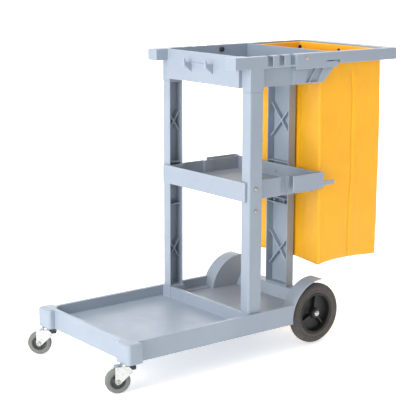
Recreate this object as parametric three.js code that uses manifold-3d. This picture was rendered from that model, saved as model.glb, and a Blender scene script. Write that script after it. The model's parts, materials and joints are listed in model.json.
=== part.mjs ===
// Housekeeping cart: a moulded deck on two swivel casters and two large rear wheels, two front posts
// and one rear upright, a middle shelf, a tool tray on top and a yellow vinyl bag hung in a rear frame.
// Millimetres, +Z up. The platform end is -X, the bag end is +X, and z = 0 is the floor.
// Working coordinates put x = 0 at the front face of the posts; the last lines centre the cart's length.
import * as THREE from 'three';
import { mergeVertices } from 'three/addons/utils/BufferGeometryUtils.js';
import Module from 'manifold-3d';

const wasm = await Module();
wasm.setup();

// ---------------------------------------------------------------- driving dimensions
const GAP = 0.3; // clearance between pieces that touch
const SIDES = [['left', -1], ['right', 1]]; // as seen by the person pushing, who stands at +X

const DECK = {
  front: -453, rear: 345, halfWidth: 235, bottom: 88, rim: 152, floor: 116,
  skin: 3.5, rimWidth: 13, frontRadius: 45, rearRadius: 8,
  ribRear: 14, backFoot: 286, backTop: 305, ledge: 196, ledgeHeight: 4,
};
const WHEEL = {
  x: 300, radius: 100, width: 32, outer: 218, rimRadius: 68, axleRadius: 6.35, facets: 32,
};
const SCREW = { shank: 1.7, hole: 1.95 }; // thread-forming screws in moulded walls
const ARCH = { outer: 121.5, skin: 3.5, wallInner: 180.5, wallOuter: 183.5, rearX: 306 };
const CASTER = {
  x: -463, y: 222, radius: 38, width: 22, trail: 24, hubRadius: 23, facets: 20,
  heading: { left: 156.5, right: 140 },
  blockFront: -475, blockRear: -420, blockInner: 187, blockOuter: 257, blockBottom: 90, blockTop: 152,
  stemRadius: 5.5, stemTop: 126, crownBottom: 79.5, crownTop: 82.5, pinX: -14, pinZ: 65,
};
const POST = {
  front: 0.5, rear: 54, inner: 187, outer: 225, wall: 3.5, top: 848, ribLow: 280, ribHigh: 714,
  spigotInset: 4, spigotDepth: 24, boltX: 27.25, boltZ: [479, 549],
};
const UPRIGHT = { front: 310, rear: 343, half: 54, wall: 3.5, top: 858.5 };
const SHELF = {
  lipFront: -9, rear: 308, bottom: 510, floor: 528, rim: 570, half: 200, halfFront: 184, wall: 3,
  bandHalf: 213, tabFront: 182, tabRear: 314, tabOuter: 224, recessFront: 150, hookRear: 360,
  screwZ: 546,
};
const TRAY = {
  front: -12, rear: 347, half: 205, halfFront: 183, bottom: 859, floor: 873, rim: 956, wall: 3.5,
  bandBottom: 919, bandOuter: 225.5, bandRear: 185.5, hornFront: -59, hornInner: 178, socketTop: 919,
  gussetOuter: 213, slopeX: 318, slopeHeight: 29, seatHalf: 58,
};
const FRAME = {
  front: 186, rear: 640, outer: 226, inner: 205.4, barFront: 594, rim: 956, bottom: 918,
  deepBottom: 908, deepRear: 372, wall: 4, screwX: 228, screwZ: 941, pegX: 577, pegZ: 938,
};
const BAG = {
  front: 328, rear: 588, halfFront: 184, halfRear: 198, wall: 3, bottom: 252, top: 952,
  shoulder: 856, collar: 884, collarFront: 347.6, recess: 347.4, recessHalf: 62,
};

const COLOURS = {
  grey: { color: 0x8f9fb4, roughness: 0.5, metalness: 0 },
  bag: { color: 0xf7a417, roughness: 0.45, metalness: 0 },
  tyre: { color: 0x3a3736, roughness: 0.85, metalness: 0 },
  hub: { color: 0x161516, roughness: 0.6, metalness: 0 },
  tread: { color: 0xa3a396, roughness: 0.8, metalness: 0 },
  casterHub: { color: 0x3c3c3e, roughness: 0.6, metalness: 0 },
  zinc: { color: 0xc9cccd, roughness: 0.3, metalness: 1 },
  black: { color: 0x18181a, roughness: 0.5, metalness: 0 },
};

// ---------------------------------------------------------------- solids
function solid(geometry) {
  const bare = geometry.clone();
  bare.deleteAttribute('normal');
  bare.deleteAttribute('uv');
  const merged = mergeVertices(bare, 1e-4);
  return new wasm.Manifold(new wasm.Mesh({
    numProp: 3,
    vertProperties: new Float32Array(merged.attributes.position.array),
    triVerts: new Uint32Array(merged.index.array),
  }));
}

function join(...pieces) {
  return pieces.reduce((whole, piece) => whole.add(piece));
}

function cut(whole, ...tools) {
  return tools.reduce((rest, tool) => rest.subtract(tool), whole);
}

function geometryOf(shape) {
  const mesh = shape.getMesh();
  const geometry = new THREE.BufferGeometry();
  geometry.setAttribute('position', new THREE.BufferAttribute(new Float32Array(mesh.vertProperties), 3));
  geometry.setIndex(new THREE.BufferAttribute(new Uint32Array(mesh.triVerts), 1));
  geometry.computeVertexNormals();
  return geometry;
}

// A box between two corners.
function box(x0, x1, y0, y1, z0, z1) {
  const geometry = new THREE.BoxGeometry(Math.abs(x1 - x0), Math.abs(y1 - y0), Math.abs(z1 - z0));
  return solid(geometry.translate((x0 + x1) / 2, (y0 + y1) / 2, (z0 + z1) / 2));
}

// Outlines are given as [a, b] points and extruded along the named axis between two positions.
function outline(points) {
  return new THREE.Shape(points.map(([a, b]) => new THREE.Vector2(a, b)));
}

function roundedRect(x0, x1, y0, y1, radii) {
  const [a, b, c, d] = radii; // at (x0,y0), (x1,y0), (x1,y1), (x0,y1)
  const shape = new THREE.Shape();
  shape.moveTo(x0 + a, y0);
  shape.lineTo(x1 - b, y0);
  shape.absarc(x1 - b, y0 + b, b, -Math.PI / 2, 0);
  shape.lineTo(x1, y1 - c);
  shape.absarc(x1 - c, y1 - c, c, 0, Math.PI / 2);
  shape.lineTo(x0 + d, y1);
  shape.absarc(x0 + d, y1 - d, d, Math.PI / 2, Math.PI);
  shape.lineTo(x0, y0 + a);
  shape.absarc(x0 + a, y0 + a, a, Math.PI, Math.PI * 1.5);
  return shape;
}

function alongZ(shape, z0, z1, curveSegments = 4) {
  const geometry = new THREE.ExtrudeGeometry(shape, { depth: z1 - z0, bevelEnabled: false, curveSegments });
  return solid(geometry.translate(0, 0, z0));
}

// The outline's points are [x, z].
function alongY(shape, y0, y1, curveSegments = 6) {
  const low = Math.min(y0, y1);
  const high = Math.max(y0, y1);
  const settings = { depth: high - low, bevelEnabled: false, curveSegments };
  const geometry = new THREE.ExtrudeGeometry(shape, settings);
  return solid(geometry.rotateX(Math.PI / 2).translate(0, high, 0));
}

// A round bar between two points.
function rod(from, to, radius, segments = 20) {
  const start = new THREE.Vector3(...from);
  const end = new THREE.Vector3(...to);
  const direction = end.clone().sub(start);
  const geometry = new THREE.CylinderGeometry(radius, radius, direction.length(), segments);
  const turn = new THREE.Quaternion().setFromUnitVectors(new THREE.Vector3(0, 1, 0), direction.normalize());
  return solid(geometry.applyQuaternion(turn).translate(...start.add(end).multiplyScalar(0.5).toArray()));
}

// A turned solid about the Y axis at (x, z), from [radius, y] points that close on themselves. The middle of
// each facet lies on the radius asked for, and one facet is at the bottom, so a wheel stands on a flat.
function turned(profile, x, z, segments) {
  const grow = 1 / Math.cos(Math.PI / segments);
  const closed = [...profile, profile[0]].map(([r, y]) => new THREE.Vector2(r * grow, y));
  return solid(new THREE.LatheGeometry(closed, segments, Math.PI / segments).translate(x, 0, z));
}

// A flat bar between two [u, v] points of a plane, as an outline.
function barOutline([u0, v0], [u1, v1], width) {
  const length = Math.hypot(u1 - u0, v1 - v0);
  const du = (-(v1 - v0) / length) * (width / 2);
  const dv = ((u1 - u0) / length) * (width / 2);
  return outline([[u0 + du, v0 + dv], [u0 - du, v0 - dv], [u1 - du, v1 - dv], [u1 + du, v1 + dv]]);
}

function named(name, shape, finish) {
  const mesh = new THREE.Mesh(geometryOf(shape), new THREE.MeshStandardMaterial(COLOURS[finish]));
  mesh.name = name;
  return mesh;
}

// ---------------------------------------------------------------- deck
function deckShell() {
  const d = DECK;
  const radii = [d.frontRadius, d.rearRadius, d.rearRadius, d.frontRadius];
  const inset = (by) => roundedRect(d.front + by, d.rear - by, -d.halfWidth + by, d.halfWidth - by,
    radii.map((r) => Math.max(r - by, 1)));
  const innerHalf = d.halfWidth - d.rimWidth;
  const backWall = outline([[d.ribRear, d.floor], [d.backFoot, d.floor], [d.backTop, d.rim],
    [d.backTop, d.rim + 1], [d.ribRear, d.rim + 1]]);
  const wellHalf = (ARCH.wallInner + ARCH.wallOuter) / 2;
  const rearWell = alongY(backWall, -wellHalf, wellHalf);
  const rearWide = box(d.ribRear, WHEEL.x - 98, -innerHalf, innerHalf, d.floor, d.rim + 1);
  const underside = alongZ(inset(d.skin), d.bottom - 1, d.floor - 4);
  const rimHollow = cut(alongZ(inset(d.skin), d.bottom, d.rim - 4), alongZ(inset(9.5), d.bottom - 1, d.rim));
  const ribHollow = box(3.5, 10.5, -innerHalf, innerHalf, d.bottom, d.rim - 4);
  const backHollow = box(d.backTop + 4, d.rear - d.skin, -170, 170, d.bottom, d.rim - 4);
  return cut(alongZ(inset(0), d.bottom, d.rim), platformSpace(), rearWell, rearWide, underside, rimHollow,
    ribHollow, backHollow);
}

// The open space above the platform's floor, inside its rim.
function platformSpace() {
  const d = DECK;
  const half = d.halfWidth - d.rimWidth;
  const radius = d.frontRadius - d.rimWidth;
  const space = roundedRect(d.front + d.rimWidth, 0, -half, half, [radius, 2, 2, radius]);
  return alongZ(space, d.floor, d.rim + 1);
}

function undersideRibs() {
  const top = DECK.floor - 3;
  const bottom = DECK.bottom + 6;
  const ribs = [-120, 0, 120].map((y) => box(DECK.front + 2, DECK.rear - 2, y - 1.5, y + 1.5, bottom, top));
  for (const x of [-310, -160, 150]) {
    const half = DECK.halfWidth - 2;
    ribs.push(box(x - 1.5, x + 1.5, -half, half, bottom, top));
  }
  return join(...ribs);
}

// Quarter-round wheel arch with its inner wall, from the deck's underside to just past the top.
function wheelArch(side) {
  const a = ARCH;
  const { x, radius: z } = WHEEL;
  const start = THREE.MathUtils.degToRad(190); // a little below the deck, trimmed off below
  const end = THREE.MathUtils.degToRad(85); // a little past the top
  const band = new THREE.Shape();
  band.absarc(x, z, a.outer, start, end, true);
  band.absarc(x, z, a.outer - a.skin, end, start, false);
  const wall = new THREE.Shape();
  wall.absarc(x, z, a.outer, start, end, true);
  wall.lineTo(DECK.rear, z);
  wall.lineTo(DECK.rear, DECK.bottom - 2);
  const whole = join(alongY(band, side * a.wallInner, side * DECK.halfWidth, 14),
    alongY(wall, side * a.wallInner, side * a.wallOuter, 14));
  const wide = [side * 170, side * 240];
  return cut(whole, box(x - 130, DECK.rear + 1, ...wide, z - 30, DECK.bottom),
    box(a.rearX, DECK.rear + 1, ...wide, DECK.rim, 300));
}

function wheelSpace(side) {
  const radius = ARCH.outer - ARCH.skin / 2;
  const y0 = side * ARCH.wallOuter;
  const y1 = side * (DECK.halfWidth + 5);
  return join(rod([WHEEL.x, y0, WHEEL.radius], [WHEEL.x, y1, WHEEL.radius], radius, 48),
    box(WHEEL.x, DECK.rear + 1, y0, y1, DECK.bottom - 1, DECK.rim + 1));
}

// Corner block that holds the caster stem: a bevelled box, open downwards.
function casterBlock(side) {
  const c = CASTER;
  const bevel = 7;
  const half = (c.blockOuter - c.blockInner) / 2;
  const shape = roundedRect(c.blockFront + bevel, c.blockRear - bevel, bevel - half, half - bevel,
    [4, 4, 4, 4]);
  const geometry = new THREE.ExtrudeGeometry(shape, {
    depth: c.blockTop - c.blockBottom, bevelEnabled: true, bevelThickness: bevel, bevelSize: bevel,
    bevelSegments: 2, curveSegments: 2,
  });
  geometry.translate(0, side * (c.blockInner + half), c.blockBottom - bevel);
  const below = box(c.blockFront - 1, c.blockRear + 1, side * 150, side * 270, 0, c.blockBottom);
  return cut(solid(geometry), below, platformSpace());
}

function deck() {
  const d = DECK;
  const s = POST.spigotInset - 1;
  let whole = join(deckShell(), undersideRibs());
  for (const [, side] of SIDES) whole = cut(whole, wheelSpace(side));
  for (const [, side] of SIDES) {
    const ledge = box(d.ribRear - 1, WHEEL.x - ARCH.outer + 2, side * d.ledge, side * (d.halfWidth - 5),
      d.floor - 2, d.floor + d.ledgeHeight);
    const foot = box(-3, 58, side * (POST.inner - 4), side * d.halfWidth, d.floor - 4, d.rim);
    const boss = rod([WHEEL.x, side * 150, WHEEL.radius], [WHEEL.x, side * 182, WHEEL.radius], 14);
    const hanger = box(WHEEL.x - 14, WHEEL.x + 14, side * 150, side * 182, WHEEL.radius, d.floor - 2);
    whole = join(whole, wheelArch(side), casterBlock(side), ledge, foot, boss, hanger);
    const pocket = box(POST.front + s, POST.rear - s, side * (POST.inner + s), side * (POST.outer - s),
      d.rim - POST.spigotDepth - 2, d.rim + 1);
    const stemHole = rod([CASTER.x, side * CASTER.y, 80], [CASTER.x, side * CASTER.y, CASTER.stemTop + 1],
      CASTER.stemRadius + GAP);
    whole = cut(whole, pocket, stemHole);
  }
  const axleHole = rod([WHEEL.x, -240, WHEEL.radius], [WHEEL.x, 240, WHEEL.radius], WHEEL.axleRadius + GAP);
  const uprightPocket = box(UPRIGHT.front + 3, UPRIGHT.rear - 3, -50, 50, 126, d.rim + 1);
  const uprightSeat = box(UPRIGHT.front - 3, UPRIGHT.rear + 1, -54, 54, 122, d.rim);
  return named('base_deck', cut(join(whole, uprightSeat), axleHole, uprightPocket), 'grey');
}

// ---------------------------------------------------------------- posts and upright
// Front post, drawn for the right side with its open channel facing the middle of the cart.
function postShape() {
  const p = POST;
  const bottom = DECK.rim + GAP;
  const shell = cut(
    alongZ(roundedRect(p.front, p.rear, p.inner, p.outer, [1.5, 1.5, 6, 6]), bottom, p.top, 4),
    box(p.front + p.wall, p.rear - p.wall, p.inner - 1, p.outer - p.wall, bottom + p.wall, p.top - p.wall));
  const left = p.front + p.wall - 0.5;
  const right = p.rear - p.wall + 0.5;
  const back = p.outer - p.wall + 0.5;
  const cross = (z) => [[z - 34, z + 34], [z + 34, z - 34]].map(([za, zb]) =>
    alongY(barOutline([left, za], [right, zb], 4), back - 22, back));
  const shelves = [434, 500, 577].map((z) => box(left, right, p.inner + 6, back, z - 1.5, z + 1.5));
  const i = p.spigotInset;
  const spigot = (z0, z1) => box(p.front + i, p.rear - i, p.inner + i, p.outer - i, z0, z1);
  const holes = p.boltZ.map((z) =>
    rod([p.boltX, p.outer - 8, z], [p.boltX, p.outer + 2, z], SCREW.hole, 10));
  return cut(join(shell, ...cross(p.ribLow), ...cross(p.ribHigh), ...shelves,
    spigot(DECK.rim - p.spigotDepth, bottom + 1), spigot(p.top - 1, p.top + p.spigotDepth)), ...holes);
}

function posts() {
  const shape = postShape();
  const middle = (POST.front + POST.rear) / 2;
  return SIDES.map(([name, side]) => {
    const mesh = named(`front_post_${name}`, shape, 'grey');
    if (side < 0) {
      mesh.rotation.z = Math.PI;
      mesh.position.x = 2 * middle;
    }
    return mesh;
  });
}

function upright() {
  const u = UPRIGHT;
  const bottom = DECK.rim + GAP;
  const shell = cut(
    alongZ(roundedRect(u.front, u.rear, -u.half, u.half, [1.5, 5, 5, 1.5]), bottom, u.top, 4),
    box(u.front - 1, u.rear - u.wall, -u.half + u.wall, u.half - u.wall, bottom + u.wall, u.top - u.wall));
  const half = u.half - u.wall + 0.5;
  const back = u.rear - u.wall + 0.5;
  const plate = new THREE.Matrix4().makeBasis(
    new THREE.Vector3(0, 1, 0), new THREE.Vector3(0, 0, 1), new THREE.Vector3(1, 0, 0));
  const rib = (from, to) => {
    const settings = { depth: 16, bevelEnabled: false };
    const geometry = new THREE.ExtrudeGeometry(barOutline(from, to, 5), settings);
    return solid(geometry.applyMatrix4(plate).translate(back - 16, 0, 0));
  };
  const ribs = [POST.ribLow - 6, POST.ribHigh].flatMap((z) =>
    [rib([-half, z - 57], [half, z + 57]), rib([-half, z + 57], [half, z - 57])]);
  const shelves = [434, 452, 576].map((z) => box(u.front + 5, back, -half, half, z - 1.5, z + 1.5));
  const webs = [-25, 25].map((y) => box(u.front + 9, back, y - 1.5, y + 1.5, 434, 452));
  const foot = box(u.front + 3 + GAP, u.rear - 3 - GAP, -50 + GAP, 50 - GAP, 127, bottom + 1);
  const screwHole = rod([u.front - 1, 0, SHELF.screwZ], [back + 5, 0, SHELF.screwZ], SCREW.hole, 12);
  const boss = box(u.front, back, -8, 8, SHELF.screwZ - 8, SHELF.screwZ + 8);
  const whole = join(shell, ...ribs, ...shelves, ...webs, boss, foot);
  return named('rear_upright', cut(whole, screwHole), 'grey');
}

// ---------------------------------------------------------------- middle shelf
function middleShelf() {
  const s = SHELF;
  const w = s.wall;
  const behindPost = POST.rear + GAP;
  const outer = join(
    box(s.lipFront, POST.front - GAP, -s.bandHalf, s.bandHalf, s.bottom, s.rim),
    box(-1, behindPost + 5, -s.halfFront, s.halfFront, s.bottom, s.rim),
    box(behindPost, s.rear, -s.half, s.half, s.bottom, s.rim));
  const inside = join(
    box(s.lipFront + 5, behindPost + 8, -s.halfFront + w, s.halfFront - w, s.floor, s.rim + 1),
    box(behindPost + w, s.rear - w - 1, -s.half + w, s.half - w, s.floor, s.rim + 1));
  const under = join(
    box(s.lipFront + 5, behindPost + 8, -s.halfFront + w, s.halfFront - w, s.bottom - 1, s.floor - w),
    box(behindPost + w, s.rear - w, -s.half + w, s.half - w, s.bottom - 1, s.floor - w));
  let whole = cut(outer, inside, under);
  for (const y of [-100, 0, 100]) {
    whole = whole.add(box(s.lipFront + 2, s.rear - 2, y - 1.5, y + 1.5, s.bottom + 3, s.floor - 1));
  }
  for (const [, side] of SIDES) {
    // Set-back recess, outboard hanging tab, and the small hook that reaches past the rear wall.
    const setBack = s.half - 8;
    const recess = box(s.recessFront, s.tabFront, side * (setBack - w), side * setBack, s.bottom, s.rim);
    const recessEnds = [s.recessFront, s.tabFront].map((x) =>
      box(x - w / 2, x + w / 2, side * (setBack - w), side * s.half, s.bottom, s.rim));
    const opening = box(s.recessFront, s.tabFront, side * setBack, side * (s.half + 5),
      s.bottom - 1, s.rim + 1);
    whole = cut(join(whole, recess, ...recessEnds), opening);
    const tab = join(
      box(s.tabFront, s.tabRear, side * (s.tabOuter - 4), side * s.tabOuter, s.floor - 8, s.rim + 3),
      box(s.tabFront + 25, s.rear, side * (s.half - 2), side * s.tabOuter, s.rim - 22, s.rim - 19),
      box(s.rear - w, s.rear, side * (s.half - 2), side * s.tabOuter, s.floor - 8, s.rim + 3),
      box(s.tabRear - 2, s.hookRear, side * (s.tabOuter - 4), side * s.tabOuter, 528, 543));
    whole = whole.add(tab);
    const [boltX, boltZ] = [POST.boltX, POST.boltZ[1]];
    whole = cut(whole, rod([boltX, side * 150, boltZ], [boltX, side * 190, boltZ], SCREW.hole, 12));
  }
  const screwHole = rod([s.rear - 9, 0, s.screwZ], [s.rear + 2, 0, s.screwZ], SCREW.hole, 12);
  return named('middle_shelf', cut(whole, screwHole), 'grey');
}

// ---------------------------------------------------------------- top tray
function trayBand(side) {
  const t = TRAY;
  const outer = side * t.bandOuter;
  const wallFace = side * (t.half - 1);
  const band = join(
    box(-4, t.bandRear, wallFace, outer, t.bandBottom, t.rim),
    box(t.hornFront, 2, side * t.hornInner, outer, t.bandBottom, t.rim));
  const w = t.wall;
  const hollow = join(
    box(POST.rear + 4, t.bandRear - w, side * t.half, side * (t.bandOuter - w), t.bandBottom - 1, t.rim - 4),
    box(t.hornFront + w, t.front - 4, side * (t.hornInner + w), side * (t.bandOuter - w),
      t.bandBottom - 1, t.rim - 4));
  const notches = [69, 115, 161].map((x) =>
    box(x, x + 22, side * (t.half + 1), side * (t.bandOuter + 1), t.bandBottom + 5, t.rim + 1));
  return cut(band, hollow, ...notches);
}

// Bracket under each bag arm: a plain wall in front, two slanted stiffeners, and a sloping rear end.
function trayGusset(side) {
  const t = TRAY;
  const top = FRAME.deepBottom - GAP;
  const low = t.bottom + 2;
  const plate = outline([[186, low], [t.slopeX - 6, low], [t.slopeX + 42, top], [186, top]]);
  const hollows = [
    [[236, low + 3], [250, low + 3], [279, top + 1], [248, top + 1]],
    [[255, low + 3], [290, low + 3], [311, top + 1], [284, top + 1]],
  ].map((points) => alongY(outline(points), side * (t.half + 1), side * (t.gussetOuter + 1)));
  return cut(alongY(plate, side * (t.half - 1), side * t.gussetOuter), ...hollows);
}

function topTray() {
  const t = TRAY;
  const w = t.wall;
  let whole = join(
    box(t.front, 60, -t.halfFront, t.halfFront, t.bottom, t.rim),
    box(2, t.rear, -t.half, t.half, t.bottom, t.rim));
  const belowSlope = outline([[t.slopeX - 1, t.bottom - 1], [t.rear + 1, t.bottom + t.slopeHeight + 1],
    [t.rear + 1, t.bottom - 1]]);
  for (const [, side] of SIDES) {
    whole = cut(whole, alongY(belowSlope, side * t.seatHalf, side * (t.half + 1)));
    // The leg sockets reach below the tray; the corner of the tray stays clear of the posts.
    whole = cut(whole, box(-20, POST.front, side * (t.halfFront + GAP), side * 300, 0, t.bandBottom));
    const socket = box(POST.front, POST.rear + 0.5, side * POST.inner, side * t.bandOuter,
      POST.top + GAP, t.socketTop + 1);
    whole = join(whole, trayBand(side), trayGusset(side), socket);
  }
  // The floor runs up to the back wall in a slope, which is solid only where it sits on the upright.
  const rise = 1.4 * w;
  const back = t.rear - w;
  const bay = outline([[POST.rear + 4, t.floor], [t.slopeX + t.floor - t.bottom - rise, t.floor],
    [back, t.bottom + back - t.slopeX + rise], [back, t.rim + 1], [POST.rear + 4, t.rim + 1]]);
  const inside = join(
    box(t.front + w, 62, -t.halfFront + w, t.halfFront - w, t.floor, t.rim + 1),
    alongY(bay, -t.half + w, t.half - w),
    box(4, POST.rear + 8, -t.half + w, t.half - w, t.socketTop, t.rim + 1));
  const under = join(
    box(t.front + w, 62, -t.halfFront + w, t.halfFront - w, t.bottom - 1, t.floor - 4),
    box(POST.rear + 4, t.slopeX - 6, -t.half + w, t.half - w, t.bottom - 1, t.floor - 4));
  whole = cut(whole, inside, under);
  for (const y of [-90, 90]) {
    whole = whole.add(box(t.front + 2, t.slopeX - 4, y - 1.5, y + 1.5, t.bottom + 2, t.floor - 2));
  }
  const i = POST.spigotInset - 1;
  for (const [, side] of SIDES) {
    const pocket = box(POST.front + i, POST.rear - i, side * (POST.inner + i), side * (POST.outer - i),
      POST.top - 1, POST.top + POST.spigotDepth + 2);
    const screw = rod([FRAME.screwX, side * 190, FRAME.screwZ], [FRAME.screwX, side * 212, FRAME.screwZ],
      SCREW.hole, 12);
    whole = cut(whole, pocket, screw);
  }
  return named('top_tray', join(whole, ...frontHooks()), 'grey');
}

// Two upturned triangular hooks on the front panel, joined by a thin rib.
function frontHooks() {
  const face = TRAY.front + 0.5;
  const side = outline([[face, 890], [face - 31, 914], [face - 33, 936], [face - 28, 936], [face - 24, 925],
    [face, 921]]);
  const hooks = [-55, 55].map((y) => alongY(side, y - 5, y + 5));
  return [...hooks, box(face - 5, face, -54, 54, 918, 921)];
}

// ---------------------------------------------------------------- bag frame and bag
function bagFrame() {
  const f = FRAME;
  const u = (front, inset) => {
    const half = f.inner + inset;
    const open = roundedRect(f.front - 60, f.barFront + inset, -half, half, [1, 12, 12, 1]);
    const full = roundedRect(front, f.rear - inset, -f.outer + inset, f.outer - inset,
      [1, 20 - inset, 20 - inset, 1]);
    return { open, full };
  };
  const outer = u(f.front - 10, 0); // trimmed square below
  const inner = u(f.front + f.wall, f.wall);
  const deep = cut(alongZ(outer.full, f.deepBottom, f.rim), alongZ(outer.open, 0, f.rim + 1));
  const hollow = cut(alongZ(inner.full, f.deepBottom - 1, f.rim - f.wall),
    alongZ(inner.open, f.deepBottom - 2, f.rim));
  const step = box(f.deepRear, f.rear + 1, -f.outer - 1, f.outer + 1, f.deepBottom - 1, f.bottom);
  const ends = box(f.front - 20, f.front, -f.outer - 1, f.outer + 1, f.deepBottom - 1, f.rim + 1);
  let whole = cut(deep, hollow, step, ends);
  for (const [, side] of SIDES) {
    const outside = side * (f.outer + 1);
    const inside = side * (f.outer - f.wall - 1);
    whole = cut(whole,
      box(311, f.deepRear, inside, outside, 927, 930),
      box(f.deepRear - 10, f.deepRear + 1, inside, outside, f.bottom - 11, 930));
    for (const x of [265, 345, 420, 500, 570]) {
      const rib = box(x - 1.5, x + 1.5, side * (f.inner + 1), side * (f.outer - 1), f.bottom + 6, f.rim - 1);
      whole = whole.add(rib);
    }
    const screw = rod([f.screwX, side * (f.inner - 4), f.screwZ], [f.screwX, side * (f.outer + 2), f.screwZ],
      SCREW.hole, 12);
    whole = cut(whole, screw);
  }
  for (const y of [-110, 0, 110]) {
    whole = whole.add(box(f.barFront + 1, f.rear - 1, y - 1.5, y + 1.5, f.bottom + 6, f.rim - 1));
  }
  return named('bag_frame', whole, 'grey');
}

// A closed skin through plan outlines at rising heights; every outline has the same number of points.
function loft(levels) {
  const count = levels[0].plan.length;
  const points = levels.flatMap(({ plan, z }) => plan.flatMap(([x, y]) => [x, y, z]));
  const index = [];
  for (let level = 0; level + 1 < levels.length; level += 1) {
    for (let k = 0; k < count; k += 1) {
      const low = level * count;
      const next = (k + 1) % count;
      index.push(low + k, low + next, low + count + next, low + k, low + count + next, low + count + k);
    }
  }
  const cap = (plan) => {
    const corners = plan.map(([x, y]) => new THREE.Vector2(x, y));
    return THREE.ShapeUtils.triangulateShape(corners, []);
  };
  const last = (levels.length - 1) * count;
  for (const [p, q, r] of cap(levels[0].plan)) index.push(p, r, q);
  for (const [p, q, r] of cap(levels[levels.length - 1].plan)) index.push(last + p, last + q, last + r);
  return new wasm.Manifold(new wasm.Mesh({
    numProp: 3, vertProperties: new Float32Array(points), triVerts: new Uint32Array(index),
  }));
}

// Open bag: flush with the tray's back wall inside the frame, fuller below the tray on both sides of the
// upright, which presses a shallow recess into it.
function bag() {
  const b = BAG;
  const plan = (front, recess, inset) => {
    const side = b.halfFront - inset;
    const rear = b.rear - inset;
    const half = b.halfRear - inset;
    const dent = b.recessHalf + inset;
    return [[rear, -half], [rear, half], [front + inset, side], [front + inset, dent + 3],
      [recess + inset, dent], [recess + inset, -dent], [front + inset, -dent - 3], [front + inset, -side]];
  };
  const skin = (inset, bottom, top) => loft([
    { z: bottom, plan: plan(b.front, b.recess, inset) },
    { z: b.shoulder, plan: plan(b.front, b.recess, inset) },
    { z: b.collar, plan: plan(b.collarFront, b.collarFront, inset) },
    { z: top, plan: plan(b.collarFront, b.collarFront, inset) },
  ]);
  const inside = skin(b.wall, b.bottom + b.wall, b.top + 1);
  return named('vinyl_bag', cut(skin(0, b.bottom, b.top), inside), 'bag');
}

// Peg that a bag eyelet hangs on: a short stud with a mushroom head, set in the frame's inner face.
function bagPegs() {
  const f = FRAME;
  const pegs = SIDES.map(([name, side]) =>
    ({ name: `bag_peg_${name}`, root: [f.pegX, side * f.inner], inward: [0, -side], neck: 4, tip: 7 }));
  pegs.push({ name: 'bag_peg_rear', root: [f.barFront, 0], inward: [-1, 0], neck: 2.5, tip: 3.4 });
  return pegs.map(({ name, root, inward, neck, tip }) => {
    const at = (depth) => [root[0] + inward[0] * depth, root[1] + inward[1] * depth, f.pegZ];
    const head = rod(at(neck - 0.5), at(tip), 6.5, 16);
    return named(name, join(rod(at(GAP), at(neck), 3.5, 12), head), 'black');
  });
}

// ---------------------------------------------------------------- fasteners
function postBolts() {
  const y = POST.outer;
  return SIDES.flatMap(([name, side]) => POST.boltZ.map((z, k) => {
    const head = join(
      rod([POST.boltX, side * (y + GAP), z], [POST.boltX, side * (y + 3.5), z], 6.5, 14),
      rod([POST.boltX, side * (y + 3), z], [POST.boltX, side * (y + 5), z], 4.2, 10));
    const shank = rod([POST.boltX, side * (y - 14), z], [POST.boltX, side * (y + 1), z], SCREW.shank, 8);
    const nutFace = y - POST.wall - GAP;
    const nut = rod([POST.boltX, side * (y - 11), z], [POST.boltX, side * nutFace, z], 5.5, 6);
    return named(`post_bolt_${name}_${k + 1}`, join(head, shank, nut), 'zinc');
  }));
}

function armScrews() {
  const { screwX: x, screwZ: z, outer, inner } = FRAME;
  const wallFace = TRAY.half - TRAY.wall;
  return SIDES.flatMap(([name, side]) => {
    const head = join(
      rod([x, side * (outer + GAP), z], [x, side * (outer + 2), z], 6.2, 14),
      rod([x, side * (outer + 1.5), z], [x, side * (outer + 3), z], 4.6, 10));
    const shank = rod([x, side * (wallFace - 3), z], [x, side * (outer + 1), z], SCREW.shank, 8);
    const knob = cut(
      join(rod([x, side * (inner - 8.3), z], [x, side * (wallFace - GAP), z], 9, 12),
        rod([x, side * (inner - 14), z], [x, side * (inner - 8), z], 6.5, 12)),
      rod([x, side * (wallFace - 3 - GAP), z], [x, side * TRAY.half, z], SCREW.hole, 12));
    return [
      named(`arm_screw_${name}`, join(head, shank), 'zinc'),
      named(`arm_nut_${name}`, knob, 'black'),
    ];
  });
}

function shelfScrew() {
  const x = SHELF.rear - SHELF.wall - 1;
  const z = SHELF.screwZ;
  return named('shelf_screw', join(rod([x - 3, 0, z], [x - GAP, 0, z], 5.5, 16),
    rod([x - 1, 0, z], [UPRIGHT.front + 18, 0, z], SCREW.shank, 12)), 'zinc');
}

// ---------------------------------------------------------------- rear wheels
// Drawn with the outer face towards -Y and the axle on Y, centred on the wheel's own middle.
function rearTyre() {
  const half = WHEEL.width / 2;
  const seat = WHEEL.rimRadius + GAP;
  const r = WHEEL.radius;
  return turned([[seat, -half + 2], [seat + 3, -half], [r - 7, -half], [r, -half + 7], [r, half - 7],
    [r - 7, half], [seat + 3, half], [seat, half - 2]], 0, 0, WHEEL.facets);
}

function rearHub() {
  const half = WHEEL.width / 2;
  const rim = WHEEL.rimRadius;
  const bore = WHEEL.axleRadius + 0.1;
  const webFront = -half + 24;
  const webBack = -half + 28;
  const body = turned([[rim, -half + 3], [rim, half - 3], [rim - 6, half - 3], [rim - 8, webBack],
    [19, webBack], [17, half], [bore, half], [bore, -half + 2], [14, -half + 2], [17, webFront],
    [rim - 8, webFront], [rim - 5, -half + 3]], 0, 0, WHEEL.facets);
  const spokes = [84, 204, 312].map((degrees) => {
    const angle = THREE.MathUtils.degToRad(degrees);
    const at = (radius) => [radius * Math.cos(angle), radius * Math.sin(angle)];
    return alongY(barOutline(at(12), at(rim - 4), 6), -half + 9, webFront + 1);
  });
  return cut(join(body, ...spokes), rod([0, -half - 1, 0], [0, half + 1, 0], bore, 16));
}

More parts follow.
